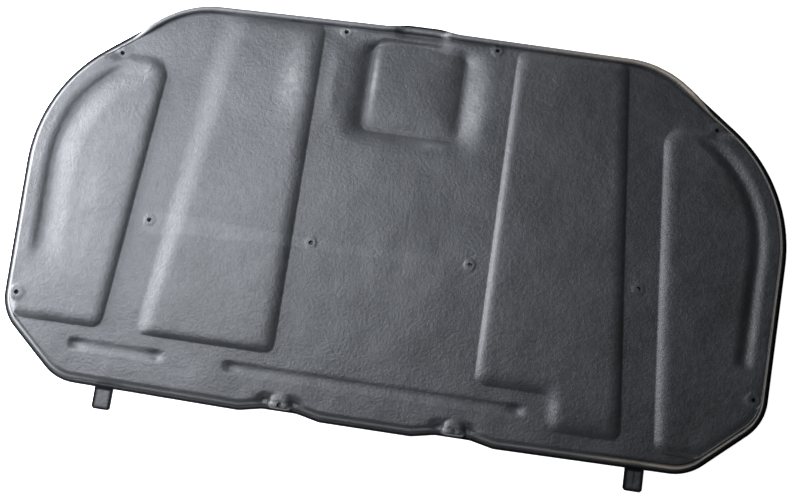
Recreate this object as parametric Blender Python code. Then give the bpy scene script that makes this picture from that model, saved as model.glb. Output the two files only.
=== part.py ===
"""Press-moulded felt pad that lines the inside of a bonnet, lying face up.

One piece: a sheet that is pinched thin along its cut edge and swells into raised panels.
Metres, +Z up, back face on z = 0, +X along the length, +Y towards the wide-cornered edge.
"""

import bmesh
import bpy
import numpy as np
from mathutils import Vector
from mathutils.geometry import delaunay_2d_cdt

# Cut edge. The right half is drawn and the left half is its mirror image.
HALF_LENGTH = 0.638
DEPTH = 0.710
FRONT_CORNER_X = 0.403
FRONT_CORNER_R = 0.170
FRONT_CORNER_DROP = 0.185
SHOULDER_R = 0.255
SIDE_TAPER = 0.013
REAR_CORNER_LENGTH = 0.112
REAR_CORNER_RISE = 0.098
REAR_CORNER_R = 0.080
FRONT_BULGE = 0.005
FRONT_BULGE_HALF = 0.044
FRONT_BULGE_RUN = 0.018
HOLLOW_DEPTH = 0.008
HOLLOW_HALF = 0.028
HOLLOW_RUN = 0.038
HOLLOW_R = 0.027
PAST_EDGE = 0.032

# Tabs on the rear edge.
TAB_X = 0.431
TAB_WIDTH = 0.030
TAB_LENGTH = 0.032
TAB_R = 0.004

FRONT_Y = 0.5 * DEPTH - FRONT_BULGE
REAR_Y = TAB_LENGTH - 0.5 * DEPTH
SHOULDER_Y = FRONT_Y - FRONT_CORNER_DROP

# Heights of the face above the flat back.
LIP_Z = 0.0035
FIELD_Z = 0.016
PANEL_Z = 0.024
STRIP_Z = 0.020
BASIN_Z = 0.003
ISLAND_Z = 0.009
GROOVE_Z = 0.010
CHANNEL_Z = 0.017
POCKET_Z = 0.007

# Widths across the rim, measured inwards from the cut edge.
LIP_WIDTH = 0.007
EDGE_ROLL = 0.014
PAD_FROM_EDGE = 0.012
PAD_WALL = 0.008
PAD_REAR_ROLL = 0.024
CHANNEL_FOOT = 0.044
CHANNEL_OUTER_WALL = 0.015
CHANNEL_INNER_WALL = 0.034
STRIP_FROM_EDGE = 0.004
STRIP_WIDTH = 0.010
STRIP_WALL = 0.003
STRIP_END_FROM_FRONT = 0.085
STRIP_FADE = 0.030

# Wide panels beside the middle field.
PANEL_INNER_X = 0.163
PANEL_FROM_FRONT = 0.017
PANEL_FROM_REAR = 0.097
PANEL_FRONT_WIDTH = 0.184
PANEL_REAR_WIDTH = 0.234
PANEL_CORNER_R = 0.018
LEFT_PANEL_FRONT_SHOULDER = 0.030
LEFT_PANEL_RAMP = 0.056
LEFT_PANEL_REAR_SHOULDER = 0.020
LEFT_PANEL_INNER_SHOULDER = 0.030
RIGHT_PANEL_FRONT_SHOULDER = 0.030
RIGHT_PANEL_OUTER_SHOULDER = 0.030
RIGHT_PANEL_REAR_SHOULDER = 0.020
RIGHT_PANEL_INNER_SHOULDER = 0.020
PANEL_STEP_WIDTH = 0.110
PANEL_STEP_FROM_REAR = 0.041

# End pads.
PAD_FROM_FRONT = 0.113
PAD_FRONT_WIDTH = 0.223
PAD_REAR_WIDTH = 0.188
PAD_FRONT_R = 0.034
PAD_REAR_R = 0.020
PAD_SHOULDER = 0.024
SHORT_PAD_FROM_REAR = 0.097
LONG_PAD_FROM_REAR = 0.033
CHANNEL_FROM_REAR = 0.184
CHANNEL_END = 0.006
CHANNEL_FROM_FRONT = 0.122
CHANNEL_FADE = 0.030

# Basin with its island, at the front edge.
BASIN_HALF_FRONT = 0.134
BASIN_HALF_REAR = 0.126
BASIN_FROM_FRONT = 0.020
BASIN_LENGTH = 0.210
BASIN_R = 0.046
BASIN_FRONT_WALL = 0.018
BASIN_SIDE_WALL = 0.056
BASIN_REAR_WALL = 0.031
BASIN_FLOOR_R = 0.018
ISLAND_GAP = 0.006
ISLAND_PAST_FLOOR = 0.012
ISLAND_R = 0.020
ISLAND_REAR_SHOULDER = 0.030
ISLAND_RIGHT_SHOULDER = 0.050
ISLAND_FRONT_SHOULDER = 0.012
ISLAND_LEFT_SHOULDER = 0.040
MOUTH_HALF = 0.046
MOUTH_WALL = 0.009

# Grooves near the rear edge.
GROOVE_FROM_REAR = 0.067
GROOVE_HALF_WIDTH = 0.013
GROOVE_WALL = 0.009
GROOVE_END_RUN = 0.011
GROOVE_END_R = 0.012
GROOVE_FLOOR_R = 0.003
LONG_GROOVE_LEFT_X = -0.244
LONG_GROOVE_RIGHT_X = 0.250
SHORT_GROOVE_LEFT_X = -0.504
SHORT_GROOVE_RIGHT_X = -0.337

# Clip holes and the seats round them.
HOLE_R = 0.0038
SEAT_R = 0.010
BOSS_FOOT_R = 0.018
REAR_BOSS_FOOT_R = 0.022
BOSS_RISE = 0.0015
EYELET_RISE = 0.0012
EYELET_FOOT_R = 0.012
INNER_HOLE_X = 0.131
OUTER_HOLE_X = 0.403
HOLE_ROW_Y = -0.038
CORNER_HOLE_X = 0.5005
CORNER_HOLE_FROM_FRONT = 0.112
SIDE_HOLE_FROM_END = 0.0415
SIDE_HOLE_FROM_REAR = 0.136
FRONT_HOLE_X = 0.128
FRONT_HOLE_FROM_FRONT = 0.025
REAR_HOLE_X = 0.1405
REAR_HOLE_FROM_REAR = 0.019
REAR_POCKET_HALF = 0.044
REAR_POCKET_DEPTH = 0.040
REAR_POCKET_WALL = 0.014
REAR_POCKET_R = 0.020
SEAT_FADE_FROM_EDGE = 0.002
SEAT_FADE = 0.004

CHANNEL_REAR_Y = REAR_Y + CHANNEL_FROM_REAR
CHANNEL_FRONT_Y = FRONT_Y - CHANNEL_FROM_FRONT
PAD_FRONT_Y = FRONT_Y - PAD_FROM_FRONT
SIDE_HOLE_Y = REAR_Y + SIDE_HOLE_FROM_REAR
PAD_REAR_X = HALF_LENGTH - PAD_REAR_WIDTH

# Fineness of the facets.
ARC_SAG = 0.0004
WIDEST_ARC_STEP = np.radians(23.0)
HOLE_SIDES = 16
WALL_STEPS = (0.0, 0.3, 0.65, 1.0)
LARGEST_CORNER_SHARE = 0.49
SMALLEST_RADIUS = 1e-5
SMALLEST_TURN = 1e-3
SAME_POINT = 1e-6
NOT_ZERO = 1e-9

# How the walls curve.
SHOULDER_POWER = 3.0
BRIM_POWER = 2.0

FELT_COLOUR = (0.055, 0.058, 0.064, 1.0)
FELT_ROUGHNESS = 0.95


def remove_everything():
    """Empty the scene of its objects."""
    for item in list(bpy.data.objects):
        bpy.data.objects.remove(item, do_unlink=True)


def felt_material():
    """Matt black non-woven felt."""
    felt = bpy.data.materials.new("black_felt")
    felt.use_nodes = True
    shader = felt.node_tree.nodes["Principled BSDF"]
    shader.inputs["Base Color"].default_value = FELT_COLOUR
    shader.inputs["Roughness"].default_value = FELT_ROUGHNESS
    shader.inputs["Metallic"].default_value = 0.0
    return felt


def rounded(corners):
    """Points of a closed outline whose straight sides meet in arcs; a corner is (x, y, radius)."""
    points = []
    count = len(corners)
    for i, (x, y, radius) in enumerate(corners):
        here = np.array((x, y))
        back = np.array(corners[i - 1][:2]) - here
        ahead = np.array(corners[(i + 1) % count][:2]) - here
        back_length, ahead_length = np.hypot(*back), np.hypot(*ahead)
        back, ahead = back / back_length, ahead / ahead_length
        half = 0.5 * np.arccos(np.clip(back @ ahead, -1.0, 1.0))
        turn = np.pi - 2.0 * half
        reach = radius / np.tan(half)
        limit = LARGEST_CORNER_SHARE * min(back_length, ahead_length)
        if reach > limit:
            radius *= limit / reach
            reach = limit
        if radius < SMALLEST_RADIUS or turn < SMALLEST_TURN:
            points.append(here)
            continue
        centre = here + (back + ahead) / np.hypot(*(back + ahead)) * radius / np.sin(half)
        start = here + back * reach - centre
        side = np.sign(back[0] * ahead[1] - back[1] * ahead[0])
        step = min(WIDEST_ARC_STEP, 2.0 * np.arccos(1.0 - min(ARC_SAG / radius, 1.0)))
        steps = int(np.ceil(turn / step))
        for angle in -side * np.linspace(0.0, turn, steps + 1):
            cos, sin = np.cos(angle), np.sin(angle)
            points.append(centre + (cos * start[0] - sin * start[1], sin * start[0] + cos * start[1]))
    return np.array(points)


def inset(corners, distance):
    """The same anticlockwise outline with every side moved inwards by one distance."""
    count = len(corners)
    moved = []
    for i, (x, y, radius) in enumerate(corners):
        before, after = corners[i - 1], corners[(i + 1) % count]
        run_in = np.array((x - before[0], y - before[1]))
        run_out = np.array((after[0] - x, after[1] - y))
        run_in, run_out = run_in / np.hypot(*run_in), run_out / np.hypot(*run_out)
        normal_in = np.array((-run_in[1], run_in[0]))
        normal_out = np.array((-run_out[1], run_out[0]))
        middle = normal_in + normal_out
        shift = middle * distance * 2.0 / (middle @ middle)
        convex = run_in[0] * run_out[1] - run_in[1] * run_out[0] > 0.0
        new_radius = radius - distance if convex else radius + distance
        moved.append((x + shift[0], y + shift[1], max(new_radius, 0.0)))
    return moved


def sloped(corners, widths):
    """The outline with each side moved inwards by its own width; side i runs from corner i to the next."""
    count = len(corners)
    moved = []
    for i, (x, y, radius) in enumerate(corners):
        before, after = corners[i - 1], corners[(i + 1) % count]
        run_in = np.array((x - before[0], y - before[1]))
        run_out = np.array((after[0] - x, after[1] - y))
        normals = np.array(((-run_in[1], run_in[0]), (-run_out[1], run_out[0])))
        normals /= np.hypot(normals[:, 0], normals[:, 1])[:, None]
        shift = np.linalg.solve(normals, (widths[i - 1], widths[i]))
        moved.append((x + shift[0], y + shift[1], radius))
    return moved


def between(outer, inner, share):
    """Corners part of the way from one outline to another with as many corners."""
    return [tuple(np.array(a) * (1.0 - share) + np.array(b) * share) for a, b in zip(outer, inner)]


def mirrored(corners):
    """The outline on the other side of the middle, still anticlockwise."""
    return [(-x, y, radius) for x, y, radius in reversed(corners)]


def box(left, right, bottom, top, radius):
    """Corners of a rectangle, anticlockwise."""
    return [(left, bottom, radius), (right, bottom, radius), (right, top, radius), (left, top, radius)]


def depth_inside(places, loop):
    """Distance of each place to a closed loop, positive inside it."""
    nearest = np.full(len(places), np.inf)
    inside = np.zeros(len(places), bool)
    for start, end in zip(loop, np.roll(loop, -1, axis=0)):
        run = end - start
        offset = places - start
        along = np.clip(offset @ run / (run @ run), 0.0, 1.0)
        gap = offset - along[:, None] * run
        nearest = np.minimum(nearest, np.hypot(gap[:, 0], gap[:, 1]))
        spans = (start[1] > places[:, 1]) != (end[1] > places[:, 1])
        if run[1] != 0.0:
            crossing = start[0] + (places[:, 1] - start[1]) * run[0] / run[1]
            inside ^= spans & (places[:, 0] < crossing)
    return np.where(inside, nearest, -nearest)


def clamp(value):
    return np.clip(value, 0.0, 1.0)


def smooth(value):
    """S-shaped rise from 0 to 1."""
    value = clamp(value)
    return value * value * (3.0 - 2.0 * value)


def rollover(share):
    """Soft shoulder above a crisp foot."""
    return 1.0 - (1.0 - clamp(share)) ** SHOULDER_POWER


def slump(share):
    """Soft brim above a crisp floor line."""
    return clamp(share) ** BRIM_POWER


def dish(share):
    """Wall that leans over at its brim and lands softly."""
    return 0.5 * clamp(share) + 0.5 * smooth(share)


def body_corners():
    """Cut edge without the tabs, anticlockwise from the middle of the rear edge."""
    side_rear_x = HALF_LENGTH - SIDE_TAPER
    rear_corner_x = side_rear_x - REAR_CORNER_LENGTH
    rear_corner_y = REAR_Y + 0.5 * HOLLOW_DEPTH
    hollow_y = REAR_Y + HOLLOW_DEPTH
    right = [
        (REAR_HOLE_X - HOLLOW_HALF - HOLLOW_RUN, REAR_Y, HOLLOW_R),
        (REAR_HOLE_X - HOLLOW_HALF, hollow_y, HOLLOW_R),
        (REAR_HOLE_X + HOLLOW_HALF, hollow_y, HOLLOW_R),
        (REAR_HOLE_X + HOLLOW_HALF + HOLLOW_RUN, REAR_Y, HOLLOW_R),
        (rear_corner_x, rear_corner_y, REAR_CORNER_R),
        (side_rear_x, rear_corner_y + REAR_CORNER_RISE, REAR_CORNER_R),
        (HALF_LENGTH, SHOULDER_Y, SHOULDER_R),
        (FRONT_CORNER_X, FRONT_Y - FRONT_BULGE, FRONT_CORNER_R),
        (FRONT_BULGE_HALF + FRONT_BULGE_RUN, FRONT_Y, FRONT_BULGE_RUN),
        (FRONT_BULGE_HALF - FRONT_BULGE_RUN, FRONT_Y + FRONT_BULGE, FRONT_BULGE_RUN),
    ]
    return right + [(-x, y, radius) for x, y, radius in reversed(right)]


def edge_corners():
    """Cut edge with the two tabs."""
    corners = []
    body = body_corners()
    tab_tip_y = REAR_Y - TAB_LENGTH
    for i, corner in enumerate(body):
        corners.append(corner)
        ahead = body[(i + 1) % len(body)]
        for side in (-1.0, 1.0):
            centre = side * TAB_X
            if corner[1] < 0.0 and ahead[1] < 0.0 and corner[0] < centre < ahead[0]:
                for x, y, radius in (
                    (centre - 0.5 * TAB_WIDTH, None, 0.0),
                    (centre - 0.5 * TAB_WIDTH, tab_tip_y, TAB_R),
                    (centre + 0.5 * TAB_WIDTH, tab_tip_y, TAB_R),
                    (centre + 0.5 * TAB_WIDTH, None, 0.0),
                ):
                    share = (x - corner[0]) / (ahead[0] - corner[0])
                    root_y = corner[1] + share * (ahead[1] - corner[1])
                    corners.append((x, root_y if y is None else y, radius))
    return corners


def panel_feet():
    """Foot lines of the two wide panels; the right one runs on to the rear in a step."""
    front_y, rear_y = FRONT_Y - PANEL_FROM_FRONT, REAR_Y + PANEL_FROM_REAR
    step_y = REAR_Y + PANEL_STEP_FROM_REAR
    front_x = PANEL_INNER_X + PANEL_FRONT_WIDTH
    rear_x = PANEL_INNER_X + PANEL_REAR_WIDTH
    slope = (rear_x - front_x) / (front_y - rear_y)
    step_outer_x = rear_x + slope * (rear_y - step_y)
    step_inner_x = rear_x - PANEL_STEP_WIDTH
    plain = [
        (PANEL_INNER_X, rear_y, PANEL_CORNER_R),
        (rear_x, rear_y, PANEL_CORNER_R),
        (front_x, front_y, PANEL_CORNER_R),
        (PANEL_INNER_X, front_y, PANEL_CORNER_R),
    ]
    stepped = [
        (PANEL_INNER_X, rear_y, PANEL_CORNER_R),
        (step_inner_x, rear_y, PANEL_CORNER_R),
        (step_inner_x, step_y, PANEL_CORNER_R),
        (step_outer_x, step_y, PANEL_CORNER_R),
        (front_x, front_y, PANEL_CORNER_R),
        (PANEL_INNER_X, front_y, PANEL_CORNER_R),
    ]
    return mirrored(plain), stepped


def panel_tops():
    """Lines where the shoulders of the two wide panels end, each side as wide as its own shoulder."""
    left, right = panel_feet()
    left_widths = (
        LEFT_PANEL_FRONT_SHOULDER,
        LEFT_PANEL_RAMP,
        LEFT_PANEL_REAR_SHOULDER,
        LEFT_PANEL_INNER_SHOULDER,
    )
    right_widths = (
        RIGHT_PANEL_REAR_SHOULDER,
        RIGHT_PANEL_INNER_SHOULDER,
        RIGHT_PANEL_REAR_SHOULDER,
        RIGHT_PANEL_OUTER_SHOULDER,
        RIGHT_PANEL_FRONT_SHOULDER,
        RIGHT_PANEL_INNER_SHOULDER,
    )
    return sloped(left, left_widths), sloped(right, right_widths)


def left_ramp(places):
    """S-shaped rise from the outer foot line of the left panel inwards."""
    foot = panel_feet()[0]
    start, end = np.array(foot[1][:2]), np.array(foot[2][:2])
    run = (end - start) / np.hypot(*(end - start))
    offset = places - start
    return smooth((run[0] * offset[:, 1] - run[1] * offset[:, 0]) / LEFT_PANEL_RAMP)


def pad_foot(from_rear):
    """Foot line of an end pad; its outer side lies past the cut edge, which trims it."""
    front_x = HALF_LENGTH - PAD_FRONT_WIDTH
    short_y = REAR_Y + SHORT_PAD_FROM_REAR
    rear_y = REAR_Y + from_rear
    slope = (PAD_REAR_X - front_x) / (PAD_FRONT_Y - short_y)
    inner_rear_x = PAD_REAR_X + slope * (short_y - rear_y)
    past_edge = HALF_LENGTH + PAST_EDGE
    return [
        (inner_rear_x, rear_y, PAD_REAR_R),
        (past_edge, rear_y, 0.0),
        (past_edge, PAD_FRONT_Y, 0.0),
        (front_x, PAD_FRONT_Y, PAD_FRONT_R),
    ]


def basin_loops():
    """Brim and floor line of the basin."""
    front_y = FRONT_Y - BASIN_FROM_FRONT
    rear_y = front_y - BASIN_LENGTH
    half = 0.5 * (BASIN_HALF_FRONT + BASIN_HALF_REAR) - BASIN_SIDE_WALL
    brim = [
        (-BASIN_HALF_REAR, rear_y, BASIN_R),
        (BASIN_HALF_REAR, rear_y, BASIN_R),
        (BASIN_HALF_FRONT, front_y, BASIN_R),
        (-BASIN_HALF_FRONT, front_y, BASIN_R),
    ]
    floor = box(-half, half, rear_y + BASIN_REAR_WALL, front_y - BASIN_FRONT_WALL, BASIN_FLOOR_R)
    return brim, floor


def island_loops():
    """Foot and top line of the island on the basin's floor."""
    floor = basin_loops()[1]
    left, rear, _ = floor[0]
    right, front, _ = floor[2]
    gap = ISLAND_GAP
    foot = box(left + gap, right - gap, rear + gap, front + ISLAND_PAST_FLOOR, ISLAND_R)
    widths = (ISLAND_REAR_SHOULDER, ISLAND_RIGHT_SHOULDER, ISLAND_FRONT_SHOULDER, ISLAND_LEFT_SHOULDER)
    return foot, sloped(foot, widths)


def groove_loops(left, right):
    """Brim and floor line of a long groove along X, with sloping ends."""
    middle = REAR_Y + GROOVE_FROM_REAR
    half = GROOVE_HALF_WIDTH
    floor_half = half - GROOVE_WALL
    brim = box(left, right, middle - half, middle + half, GROOVE_END_R)
    floor_left, floor_right = left + GROOVE_END_RUN, right - GROOVE_END_RUN
    floor = box(floor_left, floor_right, middle - floor_half, middle + floor_half, GROOVE_FLOOR_R)
    return brim, floor


def rear_pocket_loops(side):
    """Brim and floor line of the hollow round a rear clip hole, open to the cut edge."""
    centre = side * REAR_HOLE_X
    past_edge = REAR_Y - PAST_EDGE
    top = REAR_Y + REAR_POCKET_DEPTH
    half, wall = REAR_POCKET_HALF, REAR_POCKET_WALL
    brim = box(centre - half, centre + half, past_edge, top, REAR_POCKET_R)
    floor = box(centre - half + wall, centre + half - wall, past_edge, top - wall, REAR_POCKET_R - wall)
    return brim, floor


def mouth_loops():
    """Sides of the gap where the basin runs out through the front strip."""
    past_edge = FRONT_Y + PAST_EDGE
    half = MOUTH_HALF
    island_front_y = island_loops()[0][2][1]
    brim = box(-half, half, island_front_y, past_edge, MOUTH_WALL)
    floor = box(-half + MOUTH_WALL, half - MOUTH_WALL, island_front_y + MOUTH_WALL, past_edge, MOUTH_WALL)
    return brim, floor


def clip_holes():
    """Each hole as (x, y, foot radius of its seat, kind)."""
    side_x = HALF_LENGTH - SIDE_HOLE_FROM_END
    corner_y = FRONT_Y - CORNER_HOLE_FROM_FRONT
    front_y = FRONT_Y - FRONT_HOLE_FROM_FRONT
    rear_y = REAR_Y + REAR_HOLE_FROM_REAR
    holes = []
    for side in (-1.0, 1.0):
        holes.append((side * INNER_HOLE_X, HOLE_ROW_Y, EYELET_FOOT_R, "eyelet"))
        holes.append((side * OUTER_HOLE_X, HOLE_ROW_Y, EYELET_FOOT_R, "eyelet"))
        holes.append((side * CORNER_HOLE_X, corner_y, BOSS_FOOT_R, "field"))
        holes.append((side * side_x, SIDE_HOLE_Y, BOSS_FOOT_R, "panel"))
        holes.append((side * FRONT_HOLE_X, front_y, EYELET_FOOT_R, "eyelet"))
        holes.append((side * REAR_HOLE_X, rear_y, REAR_BOSS_FOOT_R, "field"))
    return holes


def seat_height(kind):
    """Height of the flat seat round a hole."""
    return {
        "eyelet": FIELD_Z + EYELET_RISE,
        "panel": PANEL_Z + BOSS_RISE,
        "field": FIELD_Z + BOSS_RISE,
    }[kind]


def ring(x, y, radius, sides=HOLE_SIDES):
    """Corner points of a circle drawn as a polygon."""
    turn = 2.0 * np.pi * (np.arange(sides) + 0.5) / sides
    return np.stack([x + radius * np.cos(turn), y + radius * np.sin(turn)], axis=1)


def share_across(places, brim, floor):
    """0 on and outside the brim, 1 on and inside the floor line, even in between."""
    from_brim = np.maximum(depth_inside(places, rounded(brim)), 0.0)
    to_floor = np.maximum(-depth_inside(places, rounded(floor)), 0.0)
    return from_brim / np.maximum(from_brim + to_floor, NOT_ZERO)


def terraces():
    """Every moulded step as (brim, floor line, height it leads to, profile), in the order made."""
    left_panel, right_panel = zip(panel_feet(), panel_tops())
    steps = [
        (*left_panel, PANEL_Z, rollover),
        (*right_panel, PANEL_Z, rollover),
        (*basin_loops(), BASIN_Z, slump),
        (*island_loops(), ISLAND_Z, rollover),
        (*mouth_loops(), ISLAND_Z, slump),
    ]
    steps.append((*groove_loops(LONG_GROOVE_LEFT_X, LONG_GROOVE_RIGHT_X), GROOVE_Z, slump))
    steps.append((*groove_loops(SHORT_GROOVE_LEFT_X, SHORT_GROOVE_RIGHT_X), GROOVE_Z, slump))
    for side in (-1.0, 1.0):
        steps.append((*rear_pocket_loops(side), POCKET_Z, slump))
    return steps


def end_pads():
    """Foot lines of the end pads: the left one stops short, the right one runs to the rear edge."""
    return mirrored(pad_foot(SHORT_PAD_FROM_REAR)), pad_foot(LONG_PAD_FROM_REAR)


def height(places):
    """Height of the face above the back at each place."""
    edge = depth_inside(places, rounded(body_corners()))
    x, y = np.abs(places[:, 0]), places[:, 1]
    z = LIP_Z + (FIELD_Z - LIP_Z) * rollover((edge - LIP_WIDTH) / EDGE_ROLL)

    # Strip along the front edge.
    strip = rollover((edge - STRIP_FROM_EDGE) / STRIP_WALL)
    strip *= 1.0 - clamp((edge - STRIP_FROM_EDGE - STRIP_WIDTH) / STRIP_WALL)
    strip *= smooth((y - FRONT_Y + STRIP_END_FROM_FRONT) / STRIP_FADE)
    z += (STRIP_Z - z) * strip

    # End pads, trimmed by the rim.
    rear = clamp((SIDE_HOLE_Y - y) / BOSS_FOOT_R)
    trim = rollover((edge - PAD_FROM_EDGE) / (PAD_WALL + (PAD_REAR_ROLL - PAD_WALL) * rear))
    for foot in end_pads():
        share = np.minimum(rollover(share_across(places, foot, inset(foot, PAD_SHOULDER))), trim)
        z += (PANEL_Z - z) * share

    # Channel between rim bead and end pad.
    outer = slump((edge - CHANNEL_FOOT + CHANNEL_OUTER_WALL) / CHANNEL_OUTER_WALL)
    inner = 1.0 - dish((edge - CHANNEL_FOOT) / CHANNEL_INNER_WALL)
    stretch = clamp((y - CHANNEL_REAR_Y) / CHANNEL_END) * smooth((CHANNEL_FRONT_Y - y) / CHANNEL_FADE)
    channel = np.minimum(outer, inner) * stretch * (x > PAD_REAR_X)
    z += (np.minimum(CHANNEL_Z, z) - z) * channel

    left_panel = panel_feet()[0]
    for brim, floor, level, profile in terraces():
        share = profile(share_across(places, brim, floor))
        if brim == left_panel:
            share *= left_ramp(places)
        if profile is slump:
            level = np.minimum(level, z)
        z += (level - z) * share

    # Seats round the clip holes, fading out at the lip.
    for hole_x, hole_y, foot_r, kind in clip_holes():
        away = np.hypot(places[:, 0] - hole_x, places[:, 1] - hole_y)
        share = rollover((foot_r - away) / (foot_r - SEAT_R))
        share *= clamp((edge - SEAT_FADE_FROM_EDGE) / SEAT_FADE)
        z += (seat_height(kind) - z) * share
    return np.maximum(z, LIP_Z)


class Drawing:
    """Lines laid on the sheet, from which its face is triangulated."""

    def __init__(self):
        self.points = []
        self.lines = []

    def add(self, loop, keep=None):
        """Lay a closed loop, or only those of its sides whose two ends are kept."""
        first = len(self.points)
        kept = np.ones(len(loop), bool) if keep is None else keep(loop)
        self.points.extend(Vector(point) for point in loop)
        for i in range(len(loop)):
            j = (i + 1) % len(loop)
            if kept[i] and kept[j]:
                self.lines.append((first + i, first + j))


def draw():
    """All the lines of the face: cut edge, rim, brims and floor lines, seats and holes."""
    sheet = Drawing()
    body = body_corners()
    sheet.add(rounded(edge_corners()))
    sheet.add(rounded(body))
    for distance in (LIP_WIDTH, PAD_FROM_EDGE, LIP_WIDTH + EDGE_ROLL):
        sheet.add(rounded(inset(body, distance)))

    def beside_pad(loop):
        return (np.abs(loop[:, 0]) > PAD_REAR_X) & (loop[:, 1] < PAD_FRONT_Y)

    def beside_channel(loop):
        in_reach = (loop[:, 1] < CHANNEL_FRONT_Y) & (loop[:, 1] > CHANNEL_REAR_Y)
        return in_reach & (np.abs(loop[:, 0]) > PAD_REAR_X)

    def on_front(loop):
        return loop[:, 1] > FRONT_Y - STRIP_END_FROM_FRONT

    sheet.add(rounded(inset(body, PAD_FROM_EDGE + PAD_WALL)), beside_pad)
    halfway_out, halfway_in = -0.5 * CHANNEL_OUTER_WALL, 0.5 * CHANNEL_INNER_WALL
    for distance in (-CHANNEL_OUTER_WALL, halfway_out, 0.0, halfway_in, CHANNEL_INNER_WALL):
        sheet.add(rounded(inset(body, CHANNEL_FOOT + distance)), beside_channel)
    for distance in (0.0, STRIP_WALL, STRIP_WIDTH, STRIP_WIDTH + STRIP_WALL):
        sheet.add(rounded(inset(body, STRIP_FROM_EDGE + distance)), on_front)
    for foot in end_pads():
        for share in WALL_STEPS:
            sheet.add(rounded(inset(foot, share * PAD_SHOULDER)))
    for brim, floor, _, _ in terraces():
        for share in WALL_STEPS:
            sheet.add(rounded(between(brim, floor, share)))
    for x, y, foot_r, _ in clip_holes():
        sheet.add(ring(x, y, HOLE_R))
        sheet.add(ring(x, y, SEAT_R))
        sheet.add(ring(x, y, foot_r))
    return sheet


def face_mesh():
    """Triangulate the drawing, drop what lies outside the felt, and lift it to its heights."""
    sheet = draw()
    flat = delaunay_2d_cdt(sheet.points, sheet.lines, [], 0, SAME_POINT)
    places = np.array([tuple(point) for point in flat[0]])
    triangles = np.array([tuple(face) for face in flat[2]])
    middles = places[triangles].mean(axis=1)
    kept = depth_inside(middles, rounded(edge_corners())) > 0.0
    for x, y, _, _ in clip_holes():
        kept &= depth_inside(middles, ring(x, y, HOLE_R)) < 0.0
    triangles = triangles[kept]
    mesh = bpy.data.meshes.new("insulation_pad")
    mesh.from_pydata(np.column_stack([places, height(places)]).tolist(), [], triangles.tolist())
    return mesh


def build_pad():
    """Close the face with a cut edge, the walls of the holes and a flat back."""
    mesh = face_mesh()
    work = bmesh.new()
    work.from_mesh(mesh)
    bmesh.ops.delete(work, geom=[v for v in work.verts if not v.link_faces], context="VERTS")
    rims = [edge for edge in work.edges if edge.is_boundary]
    made = bmesh.ops.extrude_edge_only(work, edges=rims)["geom"]
    for vertex in made:
        if isinstance(vertex, bmesh.types.BMVert):
            vertex.co.z = 0.0
    lower = [edge for edge in made if isinstance(edge, bmesh.types.BMEdge) and edge.is_boundary]
    bmesh.ops.triangle_fill(work, edges=lower, use_beauty=True)
    bmesh.ops.recalc_face_normals(work, faces=work.faces)
    work.to_mesh(mesh)
    work.free()
    mesh.materials.append(felt_material())
    return bpy.data.objects.new("insulation_pad", mesh)


def main():
    remove_everything()
    home = bpy.data.collections.new("bonnet_insulation_pad")
    bpy.context.scene.collection.children.link(home)
    home.objects.link(build_pad())


main()
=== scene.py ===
"""Press-moulded felt pad for the inside of a bonnet, lying face up on a pale floor.

The pad's face is one grid of points, bent to the cut edge and lifted to the height of the moulding.
Metres, +Z up, back face on z = 0, +X along the length, +Y towards the edge with the basin.
"""

import bmesh
import bpy
import numpy as np
from mathutils import Matrix, Vector


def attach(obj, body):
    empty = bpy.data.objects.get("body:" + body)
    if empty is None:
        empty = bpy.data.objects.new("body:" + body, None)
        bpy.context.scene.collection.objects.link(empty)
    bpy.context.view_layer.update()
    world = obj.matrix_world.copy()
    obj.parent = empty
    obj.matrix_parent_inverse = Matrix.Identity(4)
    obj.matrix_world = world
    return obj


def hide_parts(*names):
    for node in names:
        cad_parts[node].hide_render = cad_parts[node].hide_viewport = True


# Cut edge, drawn for the right half and mirrored.
HALF_LENGTH = 0.638
DEPTH = 0.710
FRONT_CORNER = (0.403, 0.185, 0.170)
SHOULDER_R = 0.255
SIDE_TAPER = 0.013
REAR_CORNER = (0.112, 0.098, 0.080)
FRONT_BULGE = 0.005
FRONT_BULGE_HALF = 0.044
FRONT_BULGE_RUN = 0.018
HOLLOW_DEPTH = 0.008
HOLLOW_HALF = 0.028
HOLLOW_RUN = 0.038
HOLLOW_R = 0.027
PAST_EDGE = 0.032
TAB_X = 0.431
TAB_WIDTH = 0.030
TAB_LENGTH = 0.032
TAB_R = 0.004
FRONT_Y = 0.5 * DEPTH - FRONT_BULGE
REAR_Y = TAB_LENGTH - 0.5 * DEPTH
SHOULDER_Y = FRONT_Y - FRONT_CORNER[1]

# Heights of the face above the back.
LIP_Z = 0.0035
FIELD_Z = 0.016
PANEL_Z = 0.024
STRIP_Z = 0.020
BASIN_Z = 0.003
ISLAND_Z = 0.009
GROOVE_Z = 0.010
CHANNEL_Z = 0.0165
POCKET_Z = 0.007

# Rim, measured inwards from the cut edge. Pairs are for the left and the right end.
LIP_WIDTH = 0.007
EDGE_ROLL = 0.014
PAD_FROM_EDGE = 0.012
PAD_WALL = 0.008
PAD_REAR_ROLL = 0.024
CHANNEL_FOOT = 0.0485
CHANNEL_OUTER_WALL = 0.016
CHANNEL_INNER_WALLS = (0.048, 0.018)
STRIP_FROM_EDGE = 0.004
STRIP_WIDTH = 0.010
STRIP_WALL = 0.003
STRIP_END_FROM_FRONT = 0.085
STRIP_FADE = 0.030

# Bead and crease along the edge, as (distance from the cut edge, half width, height), and where they die out.
LIP_RIDGE = (0.0100, 0.0030, 0.0014)
LIP_CREASE = (0.0152, 0.0015, 0.0024)
PLAIN_REAR = 0.75
PLAIN_REAR_RUN = (0.050, 0.030)
PLAIN_REAR_END = (0.42, 0.10)

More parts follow.
